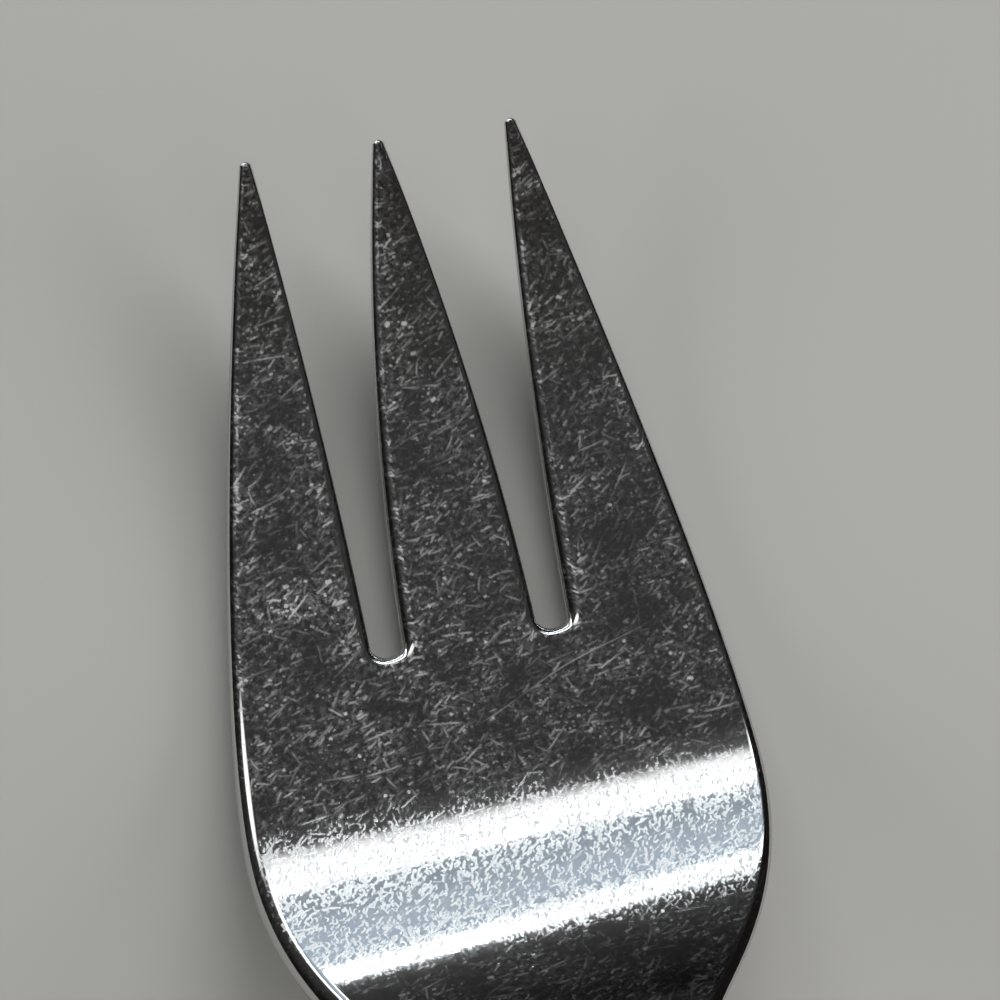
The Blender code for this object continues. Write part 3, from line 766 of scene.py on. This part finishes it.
def polished_stainless_steel(finish):
    """Stainless steel, pressed and mirror polished, then worn: it mirrors the room darkly and sharply. On its
    faces the scratches scatter the light as a matte surface does, so they show pale, most of all along the
    edges; the pale strip along the tines' left-facing edges is partly a painted highlight. On the shoulder
    they are rough metal and catch the bright rails of the window. The polish's ripples fray what it mirrors,
    and the sheared walls are satin. Sizes are in mm."""
    mark_depth, wave_height, wave_size = 0.002, 0.003, (0.8, 2.0)
    ragged_grain, ragged_shift, clump, haze_grain, most_haze = 0.25, 0.14, 3.5, 0.5, 0.14
    shoulder, shoulder_core, shoulder_reach = 59.0, 4.0, 8.5
    clump_low, clump_high, least_strewn, most_strewn = 0.34, 0.66, 0.2, 1.5
    haze_low, haze_high = 0.42, 0.78
    face_matte, shoulder_matte, face_gain, shoulder_gain = -0.7, -0.1, 0.25, 1.0
    polished, scuffed_rough, full_scuff, sheared_rough = 0.05, 0.38, 0.45, 0.25
    material, tree, shader = start_material("polished_stainless_steel")
    flat = add_node(tree, "UVMap", uv_map=FLAT_MAP)
    place = add_node(tree, "Mapping", {"Vector": flat, "Scale": (MAP_UNIT / MM, MAP_UNIT / MM, 1.0)})
    grain = {"Vector": place, "Scale": 1 / ragged_grain, "Detail": 1.0}
    wobble = add_node(tree, "TexNoise", grain, noise_dimensions="2D").outputs["Color"]
    pushed = {0: wobble, 1: (ragged_shift, ragged_shift, 0.0), 2: place}
    ragged = add_node(tree, "VectorMath", pushed, operation="MULTIPLY_ADD")
    marks = long_scratch(tree, place)
    for seed, stroke in enumerate(WEAR_MARKS, 1):
        layer = scratch_layer(tree, ragged, *stroke, seed)
        marks = add_node(tree, "Math", {0: marks, 1: layer}, operation="MAXIMUM")
    station = add_node(tree, "SeparateXYZ", {0: place}).outputs[1]
    from_middle = add_node(tree, "Math", {0: station, 1: shoulder}, operation="SUBTRACT")
    away = add_node(tree, "Math", {0: from_middle}, operation="ABSOLUTE")
    span = {"From Min": shoulder_reach, "From Max": shoulder_core}
    behind = add_node(tree, "MapRange", {"Value": away, **span}, **SMOOTH)
    for seed, stroke in enumerate(SHOULDER_MARKS, 20):
        layer = scratch_layer(tree, ragged, *stroke, seed)
        layer = add_node(tree, "Math", {0: layer, 1: behind}, operation="MULTIPLY")
        marks = add_node(tree, "Math", {0: marks, 1: layer}, operation="MAXIMUM")
    grain = {"Vector": place, "Scale": 1 / clump, "Detail": 4.0, "Roughness": 0.6}
    clumps = add_node(tree, "TexNoise", grain, noise_dimensions="2D")
    span = {"From Min": clump_low, "From Max": clump_high, "To Min": least_strewn, "To Max": most_strewn}
    patchy = add_node(tree, "MapRange", {"Value": clumps, **span})
    grain = {"Vector": place, "Scale": 1 / haze_grain, "Detail": 4.0, "Roughness": 0.75}
    haze = add_node(tree, "TexNoise", grain, noise_dimensions="2D")
    span = {"From Min": haze_low, "From Max": haze_high, "To Max": most_haze}
    hazy = add_node(tree, "MapRange", {"Value": haze, **span})
    # The worn attribute carries real wear, and on the tines' left-facing edges also a painted highlight along
    # the rim.
    worn = add_node(tree, "Attribute", attribute_name=WORN).outputs["Fac"]
    strewn = add_node(tree, "Math", {0: patchy, 1: behind}, operation="MAXIMUM")
    amount = add_node(tree, "Math", {0: strewn, 1: worn}, operation="MULTIPLY")
    dull = add_node(tree, "Math", {0: marks, 1: hazy}, operation="ADD")
    wear = add_node(tree, "Math", {0: dull, 1: amount}, operation="MULTIPLY", use_clamp=True)
    wave_scale = (1 / wave_size[0], 1 / wave_size[1], 1.0)
    drawn = add_node(tree, "Mapping", {"Vector": place, "Scale": wave_scale})
    grain = {"Vector": drawn, "Scale": 1.0, "Detail": 2.0, "Roughness": 0.5}
    ripple = add_node(tree, "TexNoise", grain, noise_dimensions="2D")
    waves = add_node(tree, "Math", {0: ripple, 1: wave_height}, operation="MULTIPLY")
    height = add_node(tree, "Math", {0: marks, 1: -mark_depth, 2: waves}, operation="MULTIPLY_ADD")
    matte = add_node(tree, "MapRange", {"Value": behind, "To Min": face_matte, "To Max": shoulder_matte})
    metal = add_node(tree, "Math", {0: wear, 1: matte, 2: 1.0}, operation="MULTIPLY_ADD")
    scuff = add_node(tree, "Math", {0: marks, 1: amount}, operation="MULTIPLY")
    gain = add_node(tree, "MapRange", {"Value": behind, "To Min": face_gain, "To Max": shoulder_gain})
    torn = add_node(tree, "Math", {0: scuff, 1: gain}, operation="MULTIPLY")
    span = {"From Max": full_scuff, "To Min": polished, "To Max": scuffed_rough}
    scuffed = add_node(tree, "MapRange", {"Value": torn, **span})
    wall = add_node(tree, "Attribute", attribute_name=SHEARED).outputs["Fac"]
    satin = add_node(tree, "Math", {0: wall, 1: sheared_rough}, operation="MULTIPLY")
    rough = add_node(tree, "Math", {0: scuffed, 1: satin}, operation="MAXIMUM")
    bump = add_node(tree, "Bump", {"Strength": 1.0, "Distance": MM, "Height": height})
    tree.links.new(metal.outputs[0], shader.inputs["Metallic"])
    tree.links.new(rough.outputs[0], shader.inputs["Roughness"])
    tree.links.new(bump.outputs[0], shader.inputs["Normal"])
    shader.inputs["Base Color"].default_value = (*finish.steel, 1.0)
    return material


def oiled_rosewood(finish):
    """Rosewood, sawn along the grain, sanded and oiled: dark streaks run the length of the handle, open
    pores show as short fine dashes, and the oil leaves a soft gloss."""
    streak, streak_draw, pore_width, pore_draw, pore_depth = 2.2 * MM, 0.07, 0.28 * MM, 0.05, 0.04 * MM
    pore_low, pore_high, grain_low, grain_high = 0.60, 0.70, 0.35, 0.68
    oiled, open_pore, pore_shade = 0.38, 0.7, 0.4
    light, late = (*finish.wood_light, 1.0), (*finish.wood_dark, 1.0)
    deepest = (*(pore_shade * part for part in finish.wood_dark), 1.0)
    material, tree, shader = start_material("oiled_rosewood")
    place = add_node(tree, "TexCoord").outputs["Object"]
    drawn = add_node(tree, "Mapping", {"Vector": place, "Scale": (1.0, streak_draw, 1.0)})
    figure = {"Scale": 1 / streak, "Detail": 5.0, "Roughness": 0.6, "Distortion": 0.6}
    streaks = add_node(tree, "TexNoise", {"Vector": drawn, **figure})
    thin = add_node(tree, "Mapping", {"Vector": place, "Scale": (1.0, pore_draw, 1.0)})
    pores = add_node(tree, "TexNoise", {"Vector": thin, "Scale": 1 / pore_width, "Detail": 2.0})
    pore = add_node(tree, "MapRange", {"Value": pores, "From Min": pore_low, "From Max": pore_high})
    grain = add_node(tree, "MapRange", {"Value": streaks, "From Min": grain_low, "From Max": grain_high})
    wood = add_node(tree, "Mix", {"Factor": grain, "A": light, "B": late}, data_type="RGBA").outputs["Result"]
    dark = add_node(tree, "Mix", {"Factor": pore, "A": wood, "B": deepest}, data_type="RGBA")
    rough = add_node(tree, "MapRange", {"Value": pore, "To Min": oiled, "To Max": open_pore})
    bump = add_node(tree, "Bump", {"Strength": 0.6, "Distance": pore_depth, "Height": pore}, invert=True)
    tree.links.new(dark.outputs["Result"], shader.inputs["Base Color"])
    tree.links.new(rough.outputs[0], shader.inputs["Roughness"])
    tree.links.new(bump.outputs[0], shader.inputs["Normal"])
    return material


def turned_brass(finish):
    """Brass rod, turned and faced on a lathe: fine rings run round each head and draw the highlight out. The
    rings' real feed is finer than shows here, so they are drawn coarser."""
    ring_width, ring_depth, breaks = 0.12 * MM, 0.006 * MM, 6.0
    smoothest, roughest = 0.2, 0.4
    material, tree, shader = start_material("turned_brass")
    flat = add_node(tree, "UVMap", uv_map=FLAT_MAP)
    rings = add_node(tree, "Mapping", {"Vector": flat, "Scale": (breaks, MAP_UNIT / ring_width, 1.0)})
    feed = {"Vector": rings, "Scale": 1.0, "Detail": 2.0}
    marks = add_node(tree, "TexNoise", feed, noise_dimensions="2D")
    rough = add_node(tree, "MapRange", {"Value": marks, "To Min": smoothest, "To Max": roughest})
    bump = add_node(tree, "Bump", {"Strength": 0.5, "Distance": ring_depth, "Height": marks})
    tree.links.new(rough.outputs[0], shader.inputs["Roughness"])
    tree.links.new(bump.outputs[0], shader.inputs["Normal"])
    shader.inputs["Base Color"].default_value = (*finish.brass, 1.0)
    shader.inputs["Metallic"].default_value = 1.0
    return material


def pressed_steel(context):
    """The steel's functions for the sizes now set in the scene."""
    return PressedSteel(context.scene.fork_steel, context.scene.fork_handle)


class FORK_OT_press_steel(bpy.types.Operator):
    """Make the pressed and polished steel with its drilled tang"""

    bl_idname = "fork.press_steel"
    bl_label = "Press the steel"

    def execute(self, context):
        press = pressed_steel(context)
        steel = polished_stainless_steel(context.scene.fork_finish)
        piece = make_piece("fork_steel_pressed", steel_mesh(press), steel, "steel", "fork_steel")
        profile = drill_profile(press, 1, press.handle.hole_clearance)
        drill(piece, [turned_mesh("drill", press, profile, at) for at in rivet_stations(press)])
        return {"FINISHED"}


class FORK_OT_fit_scales(bpy.types.Operator):
    """Make the two wooden scales with their rivet holes"""

    bl_idname = "fork.fit_scales"
    bl_label = "Fit the scales"

    def execute(self, context):
        press = pressed_steel(context)
        wood = oiled_rosewood(context.scene.fork_finish)
        for name, side in (("upper_scale", 1), ("lower_scale", -1)):
            piece = make_piece(f"{name}_wood", scale_mesh(f"{name}_wood", press, side), wood, "wood", name)
            profile = drill_profile(press, side, press.handle.hairline)
            drill(piece, [turned_mesh("drill", press, profile, at) for at in rivet_stations(press)])
        return {"FINISHED"}


class FORK_OT_set_rivets(bpy.types.Operator):
    """Make the tubular and the solid half of each rivet"""

    bl_idname = "fork.set_rivets"
    bl_label = "Set the rivets"

    def execute(self, context):
        press = pressed_steel(context)
        handle = press.handle
        brass = turned_brass(context.scene.fork_finish)
        crease = math.radians(35.0)
        sleeve_rim, post_rim = 6, 1
        head, body = handle.rivet_head_diameter / 2, handle.sleeve_diameter / 2
        bore = body - handle.sleeve_wall
        shank = bore - handle.press_clearance
        top = press.half_grip - handle.rivet_head_recess
        under = top - handle.rivet_head_thickness
        end = handle.rivet_head_thickness + handle.sleeve_end_gap - press.half_grip
        floor = under - handle.sleeve_bore_floor
        sleeve = [(0.0, floor), (bore, floor), (bore, end), (body, end), (body, under), (head, under)]
        sleeve += [(head, top), (0.0, top)]
        sleeve = rounded(sleeve, sleeve_rim, handle.rivet_head_chamfer)
        tip = floor - handle.post_end_gap
        post = [(0.0, -top), (head, -top), (head, -under), (shank, -under), (shank, tip), (0.0, tip)]
        post = rounded(post, post_rim, handle.rivet_head_chamfer)
        for name, at in zip(RIVET_NAMES, rivet_stations(press)):
            for half, profile in (("sleeve", sleeve), ("post", post)):
                node = f"{name}_rivet_{half}"
                mesh = turned_mesh(f"{node}_brass", press, profile, at)
                mesh.set_sharp_from_angle(angle=crease)
                make_piece(f"{node}_brass", mesh, brass, "brass", node)
        return {"FINISHED"}


class FORK_OT_lay_stage(bpy.types.Operator):
    """Lay the pale floor and set the lights and the camera"""

    bl_idname = "fork.lay_stage"
    bl_label = "Lay the stage"

    def execute(self, context):
        lay_floor(context.scene.fork_finish)
        light_world(context.scene)
        hang_lights(context.scene)
        set_camera(context.scene)
        context.scene.view_settings.view_transform = "Standard"
        return {"FINISHED"}


def lay_floor(finish):
    """Flat matte floor under the fork, 2.4 m square, plain as painted board is."""
    half = 1.2
    mesh = bpy.data.meshes.new("floor")
    corners = [(-half, -half, 0.0), (half, -half, 0.0), (half, half, 0.0), (-half, half, 0.0)]
    mesh.from_pydata(corners, [], [(0, 1, 2, 3)])
    material, _, shader = start_material("matte_painted_board")
    shader.inputs["Base Color"].default_value = (*finish.floor, 1.0)
    shader.inputs["Roughness"].default_value = 0.9
    shader.inputs["Specular IOR Level"].default_value = 0.1
    mesh.materials.append(material)
    floor = bpy.data.objects.new("floor", mesh)
    bpy.context.scene.collection.objects.link(floor)


def light_world(scene):
    """Dim room with one wide forward window: the light in it goes by the angle from straight up. A pale
    band, a bright rail, a bluish pane and a bright sill stand one below the other in a dark wall. They climb
    to the right, the lower ones more steeply. A small lamp hangs above the window's left part, and the camera
    sees the floor's colour instead of the room."""
    ceiling, rail, pane, pane_edge = (0.046,) * 3, (9.2, 9.9, 10.3), (0.60, 0.71, 0.84), (0.44, 0.50, 0.58)
    bands = (
        (0.0, ceiling),
        (43.5, ceiling),
        (48.2, (0.10,) * 3),
        (49.6, (1.45,) * 3),
        (51.6, (1.55,) * 3),
        (52.2, rail),
        (53.7, rail),
        (55.0, (0.40, 0.44, 0.49)),
        (58.5, (0.43, 0.50, 0.58)),
        (63.0, pane),
        (66.5, pane),
        (69.2, pane_edge),
        (69.8, rail),
        (71.0, rail),
        (72.2, (0.10,) * 3),
        (74.5, (0.05,) * 3),
        (80.0, (0.03,) * 3),
        (90.0, (0.004,) * 3),
    )
    brightest, horizon = 10.5, 90.0
    low_wall, rear_wall = (0.010, 0.009, 0.008, 1.0), (0.020, 0.017, 0.014, 1.0)
    lamp_way, lamp_light = (-0.368, 0.589, 0.719), (2.2, 2.2, 2.2, 1.0)
    lamp_core, lamp_reach = math.cos(math.radians(7.0)), math.cos(math.radians(15.0))
    level_at, climb_end = math.radians(3.5), math.radians(15.0)
    high_band, low_band, high_climb, low_climb = math.radians(50.0), math.radians(70.0), 0.23, 0.75
    left_end, left_jamb = math.radians(-70.0), math.radians(-35.0)
    right_end, right_jamb = math.radians(34.0), math.radians(18.0)
    rear_y, front_y, low_z, high_z = -0.5, 0.2, 0.4, 0.7
    world = bpy.data.worlds.new("dim_studio")
    world.use_nodes = True
    tree = world.node_tree
    tree.nodes.clear()
    way = add_node(tree, "TexCoord").outputs["Generated"]
    parts = add_node(tree, "SeparateXYZ", {0: way}).outputs
    zenith = add_node(tree, "Math", {0: parts[2]}, operation="ARCCOSINE")
    azimuth = add_node(tree, "Math", {0: parts[0], 1: parts[1]}, operation="ARCTAN2")
    span = {"From Min": high_band, "From Max": low_band, "To Min": high_climb, "To Max": low_climb}
    lean = add_node(tree, "MapRange", {"Value": zenith, **span})
    span = {"From Min": -math.pi, "From Max": climb_end}
    span |= {"To Min": -math.pi - level_at, "To Max": climb_end - level_at}
    aside = add_node(tree, "MapRange", {"Value": azimuth, **span})
    leaning = add_node(tree, "Math", {0: aside, 1: lean, 2: zenith}, operation="MULTIPLY_ADD")
    level = add_node(tree, "MapRange", {"Value": leaning, "From Max": math.pi / 2})
    window = add_node(tree, "ValToRGB", {0: level})
    stops = window.color_ramp.elements
    stops[0].position, stops[1].position = bands[0][0] / horizon, bands[-1][0] / horizon
    for place, _ in bands[1:-1]:
        stops.new(place / horizon)
    for stop, (_, light) in zip(stops, bands):
        stop.color = (*(part / brightest for part in light), 1.0)
    bright = add_node(tree, "VectorMath", {0: window, "Scale": brightest}, operation="SCALE")
    span = {"From Min": left_end, "From Max": left_jamb}
    left = add_node(tree, "MapRange", {"Value": azimuth, **span}, **SMOOTH)
    span = {"From Min": right_end, "From Max": right_jamb}
    right = add_node(tree, "MapRange", {"Value": azimuth, **span}, **SMOOTH)
    forward = add_node(tree, "Math", {0: left, 1: right}, operation="MULTIPLY")
    front = add_node(tree, "MapRange", {"Value": parts[1], "From Min": rear_y, "From Max": front_y}, **SMOOTH)
    mixed = {"Factor": front, "A": rear_wall, "B": (*ceiling, 1.0)}
    room = add_node(tree, "Mix", mixed, data_type="RGBA").outputs["Result"]
    high = add_node(tree, "MapRange", {"Value": parts[2], "From Min": low_z, "From Max": high_z}, **SMOOTH)
    mixed = {"Factor": high, "A": low_wall, "B": room}
    walls = add_node(tree, "Mix", mixed, data_type="RGBA").outputs["Result"]
    mixed = {"Factor": forward, "A": walls, "B": bright}
    windowed = add_node(tree, "Mix", mixed, data_type="RGBA").outputs["Result"]
    toward = add_node(tree, "VectorMath", {0: way, 1: lamp_way}, operation="DOT_PRODUCT").outputs["Value"]
    span = {"From Min": lamp_reach, "From Max": lamp_core}
    lamp = add_node(tree, "MapRange", {"Value": toward, **span}, **SMOOTH)
    mixed = {"Factor": lamp, "A": windowed, "B": lamp_light}
    lit = add_node(tree, "Mix", mixed, data_type="RGBA").outputs["Result"]
    seen = add_node(tree, "LightPath").outputs["Is Camera Ray"]
    mixed = {"Factor": seen, "A": lit, "B": (*scene.fork_finish.floor, 1.0)}
    shown = add_node(tree, "Mix", mixed, data_type="RGBA").outputs["Result"]
    back = add_node(tree, "Background", {"Color": shown, "Strength": 1.0})
    add_node(tree, "OutputWorld", {"Surface": back})
    scene.world = world


def hang_lights(scene):
    """Soft boxes round the table: angle from straight up, angle from forward, width, height and power.
    Polished metal doesn't mirror them: it shows the window of the world."""
    aim, distance = Vector((0.0, 0.06, 0.005)), 3.0
    boxes = (
        ("window_soft_box", 62.0, 40.0, 3.6, 1.7, 117.0),
        ("side_soft_box", 74.0, 110.0, 2.6, 1.1, 69.0),
        ("left_soft_box", 74.0, -92.0, 2.6, 1.1, 41.0),
        ("ceiling_soft_box", 10.0, 150.0, 2.1, 2.1, 3.2),
    )
    for name, zenith, azimuth, width, height, power in boxes:
        lamp = bpy.data.lights.new(name, "AREA")
        lamp.shape = "RECTANGLE"
        lamp.size, lamp.size_y = width, height
        lamp.energy = power
        lean, turn = math.radians(zenith), math.radians(azimuth)
        way = Vector((math.sin(lean) * math.sin(turn), math.sin(lean) * math.cos(turn), math.cos(lean)))
        hung = bpy.data.objects.new(name, lamp)
        hung.location = aim + way * distance
        hung.rotation_euler = way.to_track_quat("Z", "Y").to_euler()
        hung.visible_camera = False
        hung.visible_glossy = False
        scene.collection.objects.link(hung)


def set_camera(scene):
    """Camera of the photograph: its place and its right, up and back directions."""
    lens = bpy.data.cameras.new("photo_camera")
    lens.sensor_width = 36.0
    lens.lens = 100.8
    lens.clip_start = 0.01
    camera = bpy.data.objects.new("photo_camera", lens)
    right, up = (0.98205, -0.18795, 0.01585), (0.17366, 0.93378, 0.31288)
    back = (-0.07361, -0.30451, 0.94966)
    turn = Matrix((right, up, back)).transposed().to_4x4()
    place = Vector((-11.406, STEEL_HIGH.y / MM - 93.307, 203.49)) * MM
    camera.matrix_world = Matrix.Translation(place) @ turn
    scene.collection.objects.link(camera)
    scene.camera = camera


class FORK_PT_maker(bpy.types.Panel):
    """Sizes, finishes and makers of the fork"""

    bl_idname = "FORK_PT_maker"
    bl_label = "Meat fork"
    bl_space_type = "VIEW_3D"
    bl_region_type = "UI"
    bl_category = "Fork"

    def draw(self, context):
        scene = context.scene
        for group in (scene.fork_steel, scene.fork_handle, scene.fork_finish):
            column = self.layout.column()
            for name in group.__annotations__:
                column.prop(group, name)
        for maker in MAKERS:
            self.layout.operator(maker.bl_idname)


MAKERS = (FORK_OT_press_steel, FORK_OT_fit_scales, FORK_OT_set_rivets, FORK_OT_lay_stage)
CLASSES = (ForkSteelSizes, ForkHandleSizes, ForkFinish, *MAKERS, FORK_PT_maker)


def register():
    """Make the classes and the three groups of settings known."""
    for each in CLASSES:
        bpy.utils.register_class(each)
    bpy.types.Scene.fork_steel = bpy.props.PointerProperty(type=ForkSteelSizes)
    bpy.types.Scene.fork_handle = bpy.props.PointerProperty(type=ForkHandleSizes)
    bpy.types.Scene.fork_finish = bpy.props.PointerProperty(type=ForkFinish)


def unregister():
    """Take them away again."""
    del bpy.types.Scene.fork_finish
    del bpy.types.Scene.fork_handle
    del bpy.types.Scene.fork_steel
    for each in reversed(CLASSES):
        bpy.utils.unregister_class(each)


def main():
    """Make every piece and the stage."""
    register()
    bpy.ops.fork.press_steel()
    bpy.ops.fork.fit_scales()
    bpy.ops.fork.set_rivets()
    bpy.ops.fork.lay_stage()


if __name__ == "__main__":
    main()
